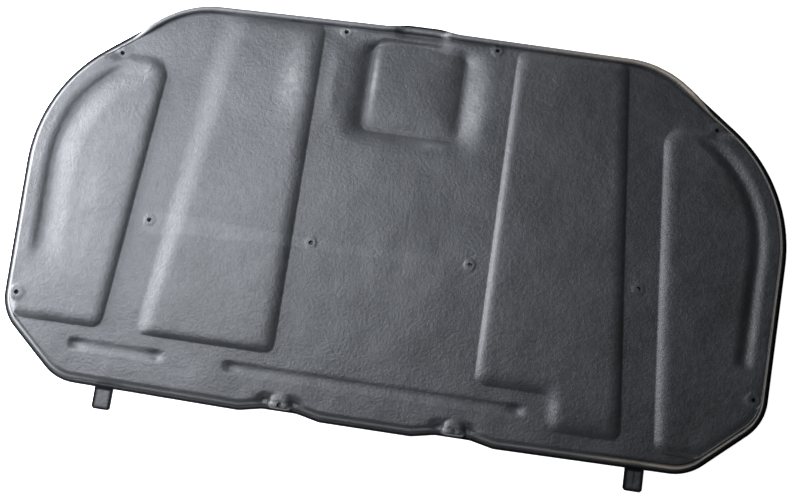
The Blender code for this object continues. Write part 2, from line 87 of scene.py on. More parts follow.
# Wide panels: inner foot, front and rear widths, the step of the right one.
PANEL_INNER_X = 0.163
PANEL_FROM_FRONT = 0.017
PANEL_FROM_REAR = 0.097
PANEL_WIDTHS = (0.184, 0.234)
PANEL_CORNER_R = 0.018
LEFT_PANEL_RAMP = (0.058, 0.032)
LEFT_PANEL_SHOULDERS = (0.030, 0.010, 0.020, 0.030)
RIGHT_PANEL_SHOULDERS = (0.034, 0.018, 0.034, 0.024, 0.034, 0.015)
PANEL_STEP_WIDTH = 0.110
PANEL_STEP_FROM_REAR = 0.041

# End pads. Widths are at the front and the rear; channel ends are for the left and the right end.
PAD_FROM_FRONT = 0.113
PAD_WIDTHS = (0.223, 0.188)
PAD_FRONT_R = 0.034
PAD_REAR_R = 0.020
PAD_SHOULDER = 0.024
SHORT_PAD_FROM_REAR = 0.097
LONG_PAD_FROM_REAR = 0.033
CHANNEL_FROM_REAR = 0.184
CHANNEL_ENDS = (0.050, 0.006)
CHANNEL_FROM_FRONT = 0.122
CHANNEL_FADE = 0.030
CHANNEL_REAR_Y = REAR_Y + CHANNEL_FROM_REAR
CHANNEL_FRONT_Y = FRONT_Y - CHANNEL_FROM_FRONT
PAD_FRONT_Y = FRONT_Y - PAD_FROM_FRONT
PAD_REAR_X = HALF_LENGTH - PAD_WIDTHS[1]

# Basin, island and mouth. Halves are at the front and the rear; walls at the front, sides and rear.
BASIN_HALVES = (0.134, 0.126)
BASIN_FROM_FRONT = 0.020
BASIN_LENGTH = 0.210
BASIN_R = 0.046
BASIN_WALLS = (0.018, 0.046, 0.044)
BASIN_FLOOR_R = 0.018
ISLAND_GAP = 0.006
ISLAND_PAST_FLOOR = 0.012
ISLAND_R = 0.020
ISLAND_SHOULDERS = (0.045, 0.050, 0.012, 0.022)
MOUTH_HALF = 0.046
MOUTH_WALL = 0.009

# Grooves near the rear edge.
GROOVE_FROM_REAR = 0.067
GROOVE_HALF_WIDTH = 0.013
GROOVE_WALL = 0.009
GROOVE_END_RUN = 0.011
GROOVE_END_R = 0.012
GROOVE_FLOOR_R = 0.003
GROOVE_BLOB = 0.013
GROOVE_MIDDLE = 0.35
LONG_GROOVE = (-0.244, 0.250)
SHORT_GROOVE = (-0.504, -0.337)

# Clip holes and their seats.
HOLE_R = 0.0038
SEAT_R = 0.0072
BOSS_FOOT_R = 0.0135
BOSS_RISE = 0.0015
EYELET_RISE = 0.0012
EYELET_FOOT_R = 0.0098
HOLE_ROW_Y = -0.038
SIDE_HOLE_Y = REAR_Y + 0.136
REAR_POCKET = (0.044, 0.040, 0.014, 0.020)
REAR_HOLE_X = 0.1405
REAR_BOSS_R = 0.020
SEAT_FADE = (0.002, 0.004)
HOLES = (
    (0.131, HOLE_ROW_Y, EYELET_FOOT_R, FIELD_Z + EYELET_RISE),
    (0.403, HOLE_ROW_Y, EYELET_FOOT_R, FIELD_Z + EYELET_RISE),
    (0.5005, FRONT_Y - 0.112, BOSS_FOOT_R, FIELD_Z + BOSS_RISE),
    (HALF_LENGTH - 0.0415, SIDE_HOLE_Y, BOSS_FOOT_R, PANEL_Z + BOSS_RISE),
    (0.128, FRONT_Y - 0.025, EYELET_FOOT_R, FIELD_Z + EYELET_RISE),
    (REAR_HOLE_X, REAR_Y + 0.019, REAR_BOSS_R, FIELD_Z + BOSS_RISE),
)

# Uneven felt, as hills of (height, pitch, seed), which start a little inside the edge.
HILLS = ((0.0010, 0.090, 3), (0.00055, 0.034, 5), (0.00022, 0.011, 8))
HILLS_FROM_EDGE = (0.004, 0.020)
LATTICE = 512
LATTICE_SHIFT = 1.0

# Band pressed flat along the row of clip holes: half widths, soft side, and as (x, run) where it narrows,
# starts and fades.
BAND_Y = HOLE_ROW_Y - 0.0015
BAND_HALVES = (0.0185, 0.0105)
BAND_NARROWS = (-0.38, 0.20)
BAND_SIDE = 0.003
BAND_START = (-0.425, 0.03)
BAND_FADE = (0.24, 0.50)
BAND_DEPTH = 0.0005

# Swell beside the basin as (x, y, half width, half length, rise), gone at SWELL_ENDS half lengths. Pale
# smudges, partly real wear and partly painted highlights and sheen on slopes that face the light, as (x, y,
# half length, half width, strength), broken up by hills of (least strength, share, pitch, seed).
BASIN_LEFT_SWELL = (-0.136, 0.235, 0.013, 0.055, 0.0022)
SWELL_ENDS = 1.5
SMUDGE_BREAKUP = (0.75, 0.35, 0.007, 13)
# The smudges on the left panel, on the basin's right wall, on the island's left wall and at the mouth's right
# side are painted highlights and sheen.
SCUFFS_AND_HIGHLIGHTS = (
    (-0.205, 0.225, 0.022, 0.060, 0.50),
    (-0.128, 0.328, 0.016, 0.007, 0.60),
    (0.045, 0.322, 0.010, 0.008, 0.60),
    (0.040, 0.150, 0.020, 0.008, 0.25),
    (0.108, 0.222, 0.016, 0.056, 0.45),
    (-0.070, 0.250, 0.0045, 0.046, 0.55),
    (-0.510, -0.010, 0.020, 0.120, 0.12),
)

# How the walls curve, and the fineness of arcs.
SHOULDER_POWER = 3.0
BRIM_POWER = 2.0
BOWL_POWER = 2.6
ARC_STEP = np.radians(3.0)
LARGEST_CORNER_SHARE = 0.49
SHARP_R = 1e-5
STRAIGHT = 1e-3
TINY = 1e-9
TOUCH = 1e-6

# Grid: master lines across the length and the depth, with the front and rear x that each column runs to.
COLUMN_AT = (0.0, 0.163, 0.3756, 0.4339, HALF_LENGTH)
COLUMN_FRONT_X = (0.0, 0.163, 0.3455, 0.4085, 0.545)
COLUMN_REAR_X = (0.0, 0.163, 0.4057, 0.4592, 0.575)
COARSE = 0.0056
FINE = 0.0015
HOLE_CELL = 0.0021
HOLE_ZONE = 0.010
REAR_CELL_SHARE = 1.2
GRID_EASE = 0.008
GRID_SAMPLES = 20001
EDGE_FADE = 0.030
SIDE_OVERLAP = 0.03
TAB_ROWS = 15
TAB_CORNER_END = 0.999
TAB_STARTS = 0.001
FINE_COLUMNS = ((0.074, 0.005), (0.130, 0.006), (0.163, 0.005), (0.3756, 0.006), (0.4339, 0.006))
FINE_ROWS = (
    (-0.282, 0.006), (-0.269, 0.004), (-0.244, 0.005), (-0.226, 0.007), (0.120, 0.005), (0.151, 0.005),
    (0.164, 0.005), (0.237, 0.007), (0.299, 0.005), (0.313, 0.004),
)
SIDE_RIM = 0.044
FRONT_RIM = 0.026
REAR_RIM = 0.040
HOLE_COLUMNS = (0.131, 0.403, 0.5005)
HOLE_ROWS = (HOLE_ROW_Y, 0.2375, SIDE_HOLE_Y, 0.325)
HOLE_BLOCK = 2
HOLE_REACH = 7

# Cut edge below the face, as shares of its height, with the thinnest felt and the sharpest smooth angle.
EDGE_STEPS = (0.55, 0.0)
THINNEST_SHARE = 0.6
SHARP_ANGLE = np.radians(62.0)

# Marks on the felt. RIGHT_END is where the lip turns brown and is painted lighter, as (x, run). The others go
# by distance
# from the cut edge: the lip line as (distance, half width), painted shade along the cut edge as (strength at
# the edge, run), and a line of painted shade in the crease.
RIGHT_END = (0.05, 0.55)
LIP_LINE = (0.0100, 0.0026)
PAINTED_EDGE_SHADE = (1.6, 0.0044)
PAINTED_CREASE_SHADE = (0.0152, 0.0016, 0.75)

# Noise in the felt as (scale, detail, roughness), with the part of its range that counts as (low, high).
FIBRES, FIBRES_PART = (620.0, 3.0, 0.65), (0.30, 0.72)
MOTTLE, MOTTLE_PART = (95.0, 4.0, 0.6), (0.30, 0.70)
CLOUDS, CLOUDS_PART = (9.0, 3.0, 0.5), (0.35, 0.75)
LUMPS = (190.0, 4.0, 0.6)

# Felt: dark and light fibres, what mottling and clouds do to them, and the marks as (name, share, colour).
FIBRE_DARK = (0.0085, 0.0094, 0.0100, 1.0)
FIBRE_LIGHT = (0.030, 0.0325, 0.0345, 1.0)
MOTTLED = (0.52, 0.52, 0.54, 1.0)
CLOUDED = (0.20, 0.20, 0.22, 1.0)
CLOUD_SHARE = 0.06
MARKS = (
    # Pressed band: painted lighter as a painted sheen of the flattened fibres.
    ("pressed", 0.15, (0.085, 0.089, 0.094, 1.0)),
    # Pale smudges, partly wear and partly painted highlights and sheen.
    ("wear_and_painted_highlight", 0.80, (0.230, 0.242, 0.240, 1.0)),
    ("pale_lip", 1.0, (0.060, 0.061, 0.064, 1.0)),
    # Tan lip: brown edge colour, painted much lighter as a highlight where the lip lies in shade.
    ("tan_lip_and_highlight", 1.0, (0.280, 0.232, 0.175, 1.0)),
    # Painted shade: near black along the cut edge and in the crease, where shade falls.
    ("painted_edge_shade", 1.0, (0.0022, 0.0023, 0.0025, 1.0)),
)
FELT_ROUGHNESS = 0.50
FELT_GLOSS = (0.50, 0.02)
FELT_SHEEN = (0.04, 0.55, (0.80, 0.86, 1.0, 1.0))
FIBRES_IN_BUMP = 0.35
BUMP_DISTANCE = 0.0010

# Floor.
FLOOR_Z = -0.0004
FLOOR_HALF = 6.0
FLOOR_PATCH_INSET = 0.008
FLOOR_GLOW = 0.9
FLOOR_PAINT = (0.80, 0.80, 0.80, 1.0)
FLOOR_ROUGHNESS = 0.7
WHITE = (1.0, 1.0, 1.0, 1.0)

# Soft lights as (name, place, power, colour), all turned to one point, and the surround.
LIGHT_TARGET = (0.0, 0.10, 0.0)
LIGHT_SIZE = (1.0, 0.28)
LIGHTS = (
    ("low", (-1.1, 0.14, 0.15), 42.0, (0.94, 0.96, 1.0)),
    ("near", (-0.75, 0.14, 0.45), 7.4, (0.89, 0.91, 1.0)),
    ("high", (-0.5, 0.10, 0.90), 18.0, (0.90, 0.93, 1.0)),
    ("over", (0.0, 0.0, 1.6), 3.2, (0.93, 0.98, 1.0)),
    ("front", (0.0, 1.2, 0.5), 3.5, (0.95, 0.98, 1.0)),
)
SURROUND = 0.06

# Camera: how far it leans from straight down, to which side, and its roll, in degrees.
LEAN, HEADING, ROLL = 8.0, 25.0, 8.02
LENS = 40.5
SENSOR = 36.0
LOOKS_AT = (0.014, -0.025, 0.0)
CAMERA_DISTANCE = 1.4823


def felt_edge(plain=False):
    """Corners of the cut edge, anticlockwise, as (x, y, radius); plain leaves hollows and bulge out."""
    hollow = 0.0 if plain else HOLLOW_DEPTH
    bulge = 0.0 if plain else FRONT_BULGE
    side_rear_x = HALF_LENGTH - SIDE_TAPER
    corner_y = REAR_Y + 0.5 * HOLLOW_DEPTH
    right = [
        (REAR_HOLE_X - HOLLOW_HALF - HOLLOW_RUN, REAR_Y, HOLLOW_R),
        (REAR_HOLE_X - HOLLOW_HALF, REAR_Y + hollow, HOLLOW_R),
        (REAR_HOLE_X + HOLLOW_HALF, REAR_Y + hollow, HOLLOW_R),
        (REAR_HOLE_X + HOLLOW_HALF + HOLLOW_RUN, REAR_Y, HOLLOW_R),
        (side_rear_x - REAR_CORNER[0], corner_y, REAR_CORNER[2]),
        (side_rear_x, corner_y + REAR_CORNER[1], REAR_CORNER[2]),
        (HALF_LENGTH, SHOULDER_Y, SHOULDER_R),
        (FRONT_CORNER[0], FRONT_Y - FRONT_BULGE, FRONT_CORNER[2]),
        (FRONT_BULGE_HALF + FRONT_BULGE_RUN, FRONT_Y, FRONT_BULGE_RUN),
        (FRONT_BULGE_HALF - FRONT_BULGE_RUN, FRONT_Y + bulge, FRONT_BULGE_RUN),
    ]
    return right + [(-x, y, radius) for x, y, radius in reversed(right)]


def rounded(corners):
    """Closed outline: straight sides joined by arcs, each tangent to its two sides."""
    points = []
    count = len(corners)
    for i, (x, y, radius) in enumerate(corners):
        here = np.array((x, y))
        back = np.array(corners[i - 1][:2]) - here
        ahead = np.array(corners[(i + 1) % count][:2]) - here
        back_length, ahead_length = np.hypot(*back), np.hypot(*ahead)
        back, ahead = back / back_length, ahead / ahead_length
        half = 0.5 * np.arccos(np.clip(back @ ahead, -1.0, 1.0))
        turn = np.pi - 2.0 * half
        if radius < SHARP_R or turn < STRAIGHT:
            points.append(here[None, :])
            continue
        reach = radius / np.tan(half)
        limit = LARGEST_CORNER_SHARE * min(back_length, ahead_length)
        if reach > limit:
            radius *= limit / reach
            reach = limit
        centre = here + (back + ahead) / np.hypot(*(back + ahead)) * radius / np.sin(half)
        start = here + back * reach - centre
        side = np.sign(back[0] * ahead[1] - back[1] * ahead[0])
        angle = -side * np.linspace(0.0, turn, int(np.ceil(turn / ARC_STEP)) + 1)
        cos, sin = np.cos(angle), np.sin(angle)
        x, y = cos * start[0] - sin * start[1], sin * start[0] + cos * start[1]
        points.append(centre + np.stack([x, y], 1))
    return np.concatenate(points)


def inset(corners, distance):
    """The same anticlockwise outline with every side moved inwards by one distance."""
    count = len(corners)
    moved = []
    for i, (x, y, radius) in enumerate(corners):
        before, after = corners[i - 1], corners[(i + 1) % count]
        run_in = np.array((x - before[0], y - before[1]))
        run_out = np.array((after[0] - x, after[1] - y))
        run_in, run_out = run_in / np.hypot(*run_in), run_out / np.hypot(*run_out)
        middle = np.array((-run_in[1] - run_out[1], run_in[0] + run_out[0]))
        shift = middle * distance * 2.0 / (middle @ middle)
        convex = run_in[0] * run_out[1] - run_in[1] * run_out[0] > 0.0
        radius = max(radius - distance if convex else radius + distance, 0.0)
        moved.append((x + shift[0], y + shift[1], radius))
    return moved


def sloped(corners, widths):
    """The outline with each side moved inwards by its own width; side i runs from corner i to the next."""
    count = len(corners)
    moved = []
    for i, (x, y, radius) in enumerate(corners):
        before, after = corners[i - 1], corners[(i + 1) % count]
        run_in = np.array((x - before[0], y - before[1]))
        run_out = np.array((after[0] - x, after[1] - y))
        normals = np.array(((-run_in[1], run_in[0]), (-run_out[1], run_out[0])))
        normals /= np.hypot(*normals.T)[:, None]
        shift = np.linalg.solve(normals, (widths[i - 1], widths[i]))
        moved.append((x + shift[0], y + shift[1], radius))
    return moved


def mirrored(corners):
    """The outline on the other side of the middle, still anticlockwise."""
    return [(-x, y, radius) for x, y, radius in reversed(corners)]


def box(left, right, bottom, top, radius):
    """Corners of a rectangle, anticlockwise."""
    return [(left, bottom, radius), (right, bottom, radius), (right, top, radius), (left, top, radius)]


def depth_inside(places, loop):
    """Distance of each place to a closed loop, positive inside it."""
    nearest = np.full(len(places), np.inf)
    inside = np.zeros(len(places), bool)
    for start, end in zip(loop, np.roll(loop, -1, axis=0)):
        run = end - start
        length2 = run @ run
        if length2 == 0.0:
            continue
        offset = places - start
        along = np.clip(offset @ run / length2, 0.0, 1.0)
        gap = offset - along[:, None] * run
        nearest = np.minimum(nearest, gap[:, 0] ** 2 + gap[:, 1] ** 2)
        if run[1] != 0.0:
            spans = (start[1] > places[:, 1]) != (end[1] > places[:, 1])
            inside ^= spans & (places[:, 0] < start[0] + offset[:, 1] * run[0] / run[1])
    return np.where(inside, 1.0, -1.0) * np.sqrt(nearest)


def clamp(value):
    """Value held between 0 and 1."""
    return np.clip(value, 0.0, 1.0)


def smooth(value):
    """S-shaped rise from 0 to 1: 3t^2 - 2t^3 of the clamped value."""
    value = clamp(value)
    return value * value * (3.0 - 2.0 * value)


def rollover(share):
    """Soft shoulder above a crisp foot: 1 - (1 - t) to the shoulder power."""
    return 1.0 - (1.0 - clamp(share)) ** SHOULDER_POWER


def slump(share):
    """Soft brim above a crisp floor line: t to the brim power."""
    return clamp(share) ** BRIM_POWER


def bowl(share):
    """Wide soft brim that steepens down to a crisp floor line: t to the bowl power."""
    return clamp(share) ** BOWL_POWER


def dish(share):
    """Wall that leans over at the brim and lands softly: half even slope, half S-shaped rise."""
    return 0.5 * clamp(share) + 0.5 * smooth(share)


def hump(value):
    """Bell curve, exp(-t^2)."""
    return np.exp(-value * value)


def drift(x, y, pitch, seed):
    """Random hills between -1 and 1: a lattice of random heights one pitch apart, blended smoothly."""
    lattice = np.random.default_rng(seed).uniform(-1.0, 1.0, (LATTICE, LATTICE))
    column, row = (x + LATTICE_SHIFT) / pitch, (y + LATTICE_SHIFT) / pitch
    i, j = np.floor(column).astype(int), np.floor(row).astype(int)
    s, t = smooth(column - i), smooth(row - j)
    i, j = i % (LATTICE - 1), j % (LATTICE - 1)
    low = lattice[i, j] * (1.0 - s) + lattice[i + 1, j] * s
    high = lattice[i, j + 1] * (1.0 - s) + lattice[i + 1, j + 1] * s
    return low * (1.0 - t) + high * t


def panel_feet():
    """Foot lines of the two wide panels; the right one runs on to the rear in a step."""
    front_y, rear_y = FRONT_Y - PANEL_FROM_FRONT, REAR_Y + PANEL_FROM_REAR
    step_y = REAR_Y + PANEL_STEP_FROM_REAR
    front_x, rear_x = PANEL_INNER_X + PANEL_WIDTHS[0], PANEL_INNER_X + PANEL_WIDTHS[1]
    slope = (rear_x - front_x) / (front_y - rear_y)
    step_outer_x = rear_x + slope * (rear_y - step_y)
    step_inner_x = rear_x - PANEL_STEP_WIDTH
    radius = PANEL_CORNER_R
    front = [(front_x, front_y, radius), (PANEL_INNER_X, front_y, radius)]
    plain = [(PANEL_INNER_X, rear_y, radius), (rear_x, rear_y, radius)] + front
    stepped = [
        (PANEL_INNER_X, rear_y, radius),
        (step_inner_x, rear_y, radius),
        (step_inner_x, step_y, radius),
        (step_outer_x, step_y, radius),
    ] + front
    return mirrored(plain), stepped


def left_ramp(places):
    """S-shaped rise from the outer foot line of the left panel inwards, narrower towards the rear."""
    start, end = [np.array(corner[:2]) for corner in panel_feet()[0][1:3]]
    run = (end - start) / np.hypot(*(end - start))
    offset = places - start
    front, rear = LEFT_PANEL_RAMP
    width = front + (rear - front) * clamp(offset @ run / np.hypot(*(end - start)))
    return smooth((run[0] * offset[:, 1] - run[1] * offset[:, 0]) / width)


def pad_foot(from_rear):
    """Foot line of an end pad; its outer side lies past the cut edge, which trims it."""
    front_x = HALF_LENGTH - PAD_WIDTHS[0]
    short_y, rear_y = REAR_Y + SHORT_PAD_FROM_REAR, REAR_Y + from_rear
    slope = (PAD_REAR_X - front_x) / (PAD_FRONT_Y - short_y)
    past_edge = HALF_LENGTH + PAST_EDGE
    return [
        (PAD_REAR_X + slope * (short_y - rear_y), rear_y, PAD_REAR_R),
        (past_edge, rear_y, 0.0),
        (past_edge, PAD_FRONT_Y, 0.0),
        (front_x, PAD_FRONT_Y, PAD_FRONT_R),
    ]


def basin_loops():
    """Brim and floor line of the basin."""
    front_y = FRONT_Y - BASIN_FROM_FRONT
    rear_y = front_y - BASIN_LENGTH
    front_wall, side_wall, rear_wall = BASIN_WALLS
    half = 0.5 * sum(BASIN_HALVES) - side_wall
    brim = [
        (-BASIN_HALVES[1], rear_y, BASIN_R),
        (BASIN_HALVES[1], rear_y, BASIN_R),
        (BASIN_HALVES[0], front_y, BASIN_R),
        (-BASIN_HALVES[0], front_y, BASIN_R),
    ]
    return brim, box(-half, half, rear_y + rear_wall, front_y - front_wall, BASIN_FLOOR_R)


def island_loops():
    """Foot and top line of the island on the basin's floor."""
    floor = basin_loops()[1]
    gap = ISLAND_GAP
    front = floor[2][1] + ISLAND_PAST_FLOOR
    foot = box(floor[0][0] + gap, floor[2][0] - gap, floor[0][1] + gap, front, ISLAND_R)
    return foot, sloped(foot, ISLAND_SHOULDERS)


def groove_loops(ends):
    """Brim and floor line of a long groove along X, with sloping ends."""
    left, right = ends
    middle, half = REAR_Y + GROOVE_FROM_REAR, GROOVE_HALF_WIDTH
    floor_half = half - GROOVE_WALL
    brim = box(left, right, middle - half, middle + half, GROOVE_END_R)
    run = GROOVE_END_RUN
    return brim, box(left + run, right - run, middle - floor_half, middle + floor_half, GROOVE_FLOOR_R)


def pocket_loops(side):
    """Brim and floor line of the hollow round a rear clip hole, open to the cut edge."""
    half, deep, wall, radius = REAR_POCKET
    centre, past_edge, top = side * REAR_HOLE_X, REAR_Y - PAST_EDGE, REAR_Y + deep
    brim = box(centre - half, centre + half, past_edge, top, radius)
    return brim, box(centre - half + wall, centre + half - wall, past_edge, top - wall, radius - wall)


def mouth_loops():
    """Sides of the gap where the basin runs out through the front strip."""
    start, past_edge, half, wall = island_loops()[0][2][1], FRONT_Y + PAST_EDGE, MOUTH_HALF, MOUTH_WALL
    floor = box(-half + wall, half - wall, start + wall, past_edge, wall)
    return box(-half, half, start, past_edge, wall), floor


def clip_holes():
    """Each hole as (x, y, foot radius of its seat, seat height)."""
    return [(side * x, y, foot, z) for side in (-1.0, 1.0) for x, y, foot, z in HOLES]


def share_across(places, brim, floor):
    """0 on and outside the brim, 1 on and inside the floor line, even in between."""
    from_brim = np.maximum(depth_inside(places, rounded(brim)), 0.0)
    to_floor = np.maximum(-depth_inside(places, rounded(floor)), 0.0)
    return from_brim / np.maximum(from_brim + to_floor, TINY)


def terraces():
    """Every moulded step as (brim, floor line, height it leads to, profile), in the order made."""
    left, right = panel_feet()
    steps = [
        (left, sloped(left, LEFT_PANEL_SHOULDERS), PANEL_Z, rollover),
        (right, sloped(right, RIGHT_PANEL_SHOULDERS), PANEL_Z, rollover),
    ]
    steps.append((*basin_loops(), BASIN_Z, bowl))
    steps.append((*island_loops(), ISLAND_Z, rollover))
    steps.append((*mouth_loops(), ISLAND_Z, slump))
    steps += [(*groove_loops(ends), GROOVE_Z, slump) for ends in (LONG_GROOVE, SHORT_GROOVE)]
    steps += [(*pocket_loops(side), POCKET_Z, slump) for side in (-1.0, 1.0)]
    return steps


def moulding(places, edge):
    """Height of the pressed form at each place, given its distance from the cut edge."""
    x, y = np.abs(places[:, 0]), places[:, 1]
    z = LIP_Z + (FIELD_Z - LIP_Z) * rollover((edge - LIP_WIDTH) / EDGE_ROLL)
    strip = rollover((edge - STRIP_FROM_EDGE) / STRIP_WALL)
    strip *= 1.0 - clamp((edge - STRIP_FROM_EDGE - STRIP_WIDTH) / STRIP_WALL)
    strip *= smooth((y - FRONT_Y + STRIP_END_FROM_FRONT) / STRIP_FADE)
    z += (STRIP_Z - z) * strip

    rear = clamp((SIDE_HOLE_Y - y) / BOSS_FOOT_R)
    trim = rollover((edge - PAD_FROM_EDGE) / (PAD_WALL + (PAD_REAR_ROLL - PAD_WALL) * rear))
    for foot in (mirrored(pad_foot(SHORT_PAD_FROM_REAR)), pad_foot(LONG_PAD_FROM_REAR)):
        share = np.minimum(rollover(share_across(places, foot, inset(foot, PAD_SHOULDER))), trim)
        z += (PANEL_Z - z) * share

    outer = slump((edge - CHANNEL_FOOT + CHANNEL_OUTER_WALL) / CHANNEL_OUTER_WALL)
    inner = 1.0 - dish((edge - CHANNEL_FOOT) / np.where(places[:, 0] < 0.0, *CHANNEL_INNER_WALLS))
    stretch = smooth((y - CHANNEL_REAR_Y) / np.where(places[:, 0] < 0.0, *CHANNEL_ENDS))
    stretch *= smooth((CHANNEL_FRONT_Y - y) / CHANNEL_FADE)
    z += (np.minimum(CHANNEL_Z, z) - z) * np.minimum(outer, inner) * stretch * (x > PAD_REAR_X)

    left_panel = panel_feet()[0]
    for brim, floor, level, profile in terraces():
        share = profile(share_across(places, brim, floor))
        if level == GROOVE_Z:
            from_left, from_right = places[:, 0] - brim[0][0], brim[1][0] - places[:, 0]
            ends = hump(from_left / GROOVE_BLOB - 1.0) + hump(from_right / GROOVE_BLOB - 1.0)
            share *= GROOVE_MIDDLE + (1.0 - GROOVE_MIDDLE) * clamp(ends)
        if brim == left_panel:
            share *= left_ramp(places)
        if profile in (slump, bowl):
            level = np.minimum(level, z)
        z += (level - z) * share

    for hole_x, hole_y, foot_r, seat_z in clip_holes():
        away = np.hypot(places[:, 0] - hole_x, places[:, 1] - hole_y)
        share = rollover((foot_r - away) / (foot_r - SEAT_R)) * clamp((edge - SEAT_FADE[0]) / SEAT_FADE[1])
        z += (seat_z - z) * share
    return np.maximum(z, LIP_Z)


def handwork(places, edge):
    """What pressing leaves besides the form: lip ridge and crease, uneven felt, and the pressed band."""
    x, y = places[:, 0], places[:, 1]
    firm = 1.0 - plain_rear(x, y)
    at, width, rise = LIP_RIDGE
    z = rise * firm * hump((edge - at) / width)
    at, width, fall = LIP_CREASE
    z -= fall * firm * hump((edge - at) / width)
    inside = smooth((edge - HILLS_FROM_EDGE[0]) / HILLS_FROM_EDGE[1])
    z += inside * sum(height * drift(x, y, pitch, seed) for height, pitch, seed in HILLS)
    at_x, at_y, half_x, half_y, rise = BASIN_LEFT_SWELL
    z += rise * hump((x - at_x) / half_x) * smooth(SWELL_ENDS - np.abs(y - at_y) / half_y)
    return z - BAND_DEPTH * pressed_band(x, y)


def plain_rear(x, y):
    """Share by which the bead along the edge dies out: most of it along the rear, short of the right end."""
    rear = smooth((REAR_Y + PLAIN_REAR_RUN[0] - y) / PLAIN_REAR_RUN[1])
    return PLAIN_REAR * rear * smooth((PLAIN_REAR_END[0] - x) / PLAIN_REAR_END[1])


def pressed_band(x, y):
    """1 in the band pressed flat along the row of clip holes, fading out to the right; the dent is real, and
    the felt is painted lighter there as a painted sheen.
    """
    wide, narrow = BAND_HALVES
    half = wide + (narrow - wide) * clamp((x - BAND_NARROWS[0]) / BAND_NARROWS[1])
    band = smooth((half - np.abs(y - BAND_Y)) / BAND_SIDE)
    return band * clamp((BAND_FADE[0] - x) / BAND_FADE[1]) * smooth((x - BAND_START[0]) / BAND_START[1])


def scuffs_and_highlights(x, y):
    """Pale smudges, partly wear and partly painted highlights and sheen: the sum of soft ellipses, each a bell
    curve, broken up by small hills.
    """
    wear_and_painted_highlight = np.zeros_like(x)
    for at_x, at_y, half_x, half_y, strength in SCUFFS_AND_HIGHLIGHTS:
        wear_and_painted_highlight += strength * hump(np.hypot((x - at_x) / half_x, (y - at_y) / half_y))
    least, share, pitch, seed = SMUDGE_BREAKUP
    return wear_and_painted_highlight * (least + share * drift(x, y, pitch, seed))


def grid_steps(length, zones):
    """Positions from 0 to length, spaced coarsely but finer inside the (middle, half width, step) zones."""
    at = np.linspace(0.0, length, GRID_SAMPLES)
    step = np.full(at.shape, COARSE)
    for middle, half, fine in zones:
        ease = smooth(1.0 - (np.abs(at - middle) - half) / GRID_EASE)
        step = np.minimum(step, COARSE + (fine - COARSE) * ease)
    run = np.concatenate([[0.0], np.cumsum(0.5 * (1.0 / step[1:] + 1.0 / step[:-1]) * np.diff(at))])
    return np.interp(np.linspace(0.0, run[-1], int(np.ceil(run[-1])) + 1), run, at)


def edge_runs(plain):
    """Cut edge as y of x along the front and the rear, and x of y along the right side."""
    loop = rounded(felt_edge(plain=plain))
    right = loop[loop[:, 0] >= 0.0]
    front = right[right[:, 1] > SHOULDER_Y]
    front = front[np.argsort(front[:, 0])]
    rear = right[right[:, 1] < REAR_Y + REAR_CORNER[1]]
    rear = rear[np.argsort(rear[:, 0])]
    side = right[right[:, 0] > COLUMN_FRONT_X[-1] - SIDE_OVERLAP]
    side = side[np.argsort(side[:, 1])]
    return front, rear, side


def face_grid():
    """Points of the face in rows and columns.

    A column runs straight from the rear edge to the front edge, splayed to follow the panels and pads. The
    outer ones lean out to the side of the cut edge, and all ends follow the edge's small hollows and bulge.
    """
    zones = [(at, half, FINE) for at, half in FINE_COLUMNS]
    zones += [(at, HOLE_ZONE, HOLE_CELL) for at in HOLE_COLUMNS]
    half = grid_steps(HALF_LENGTH, zones + [(HALF_LENGTH, SIDE_RIM, FINE)])
    for tab_side in (-0.5, 0.5):
        at = np.interp(TAB_X + tab_side * TAB_WIDTH, COLUMN_REAR_X, COLUMN_AT)
        half[np.argmin(np.abs(half - at))] = at
    across = np.concatenate([-half[:0:-1], half])
    low, high = REAR_Y, FRONT_Y
    zones = [(at - low, width, FINE) for at, width in FINE_ROWS]
    zones += [(at - low, HOLE_ZONE, HOLE_CELL) for at in HOLE_ROWS]
    zones += [(0.0, REAR_RIM, FINE * REAR_CELL_SHARE), (high - low, FRONT_RIM, FINE)]
    v = (grid_steps(high - low, zones) / (high - low))[None, :]

    sign, q = np.sign(across)[:, None], np.abs(across)[:, None]
    front_x, rear_x = np.interp(q, COLUMN_AT, COLUMN_FRONT_X), np.interp(q, COLUMN_AT, COLUMN_REAR_X)
    front, rear, side = edge_runs(plain=True)
    true_front, true_rear, _ = edge_runs(plain=False)
    front_y, rear_y = np.interp(front_x, *front.T), np.interp(rear_x, *rear.T)
    corner_front, corner_rear = front_y[-1, 0], rear_y[-1, 0]
    side_y = corner_rear + (corner_front - corner_rear) * v
    chord_x = COLUMN_REAR_X[-1] + (COLUMN_FRONT_X[-1] - COLUMN_REAR_X[-1]) * v
    lean = clamp((q - COLUMN_AT[-2]) / (COLUMN_AT[-1] - COLUMN_AT[-2]))
    x = rear_x + (front_x - rear_x) * v + lean * (np.interp(side_y, side[:, 1], side[:, 0]) - chord_x)
    y = rear_y + (front_y - rear_y) * v
    y = y + (np.interp(front_x, *true_front.T) - front_y) * smooth(1.0 - (front_y - y) / EDGE_FADE)
    y = y + (np.interp(rear_x, *true_rear.T) - rear_y) * smooth(1.0 - (y - rear_y) / EDGE_FADE)
    return np.stack([sign * x, y], axis=2)


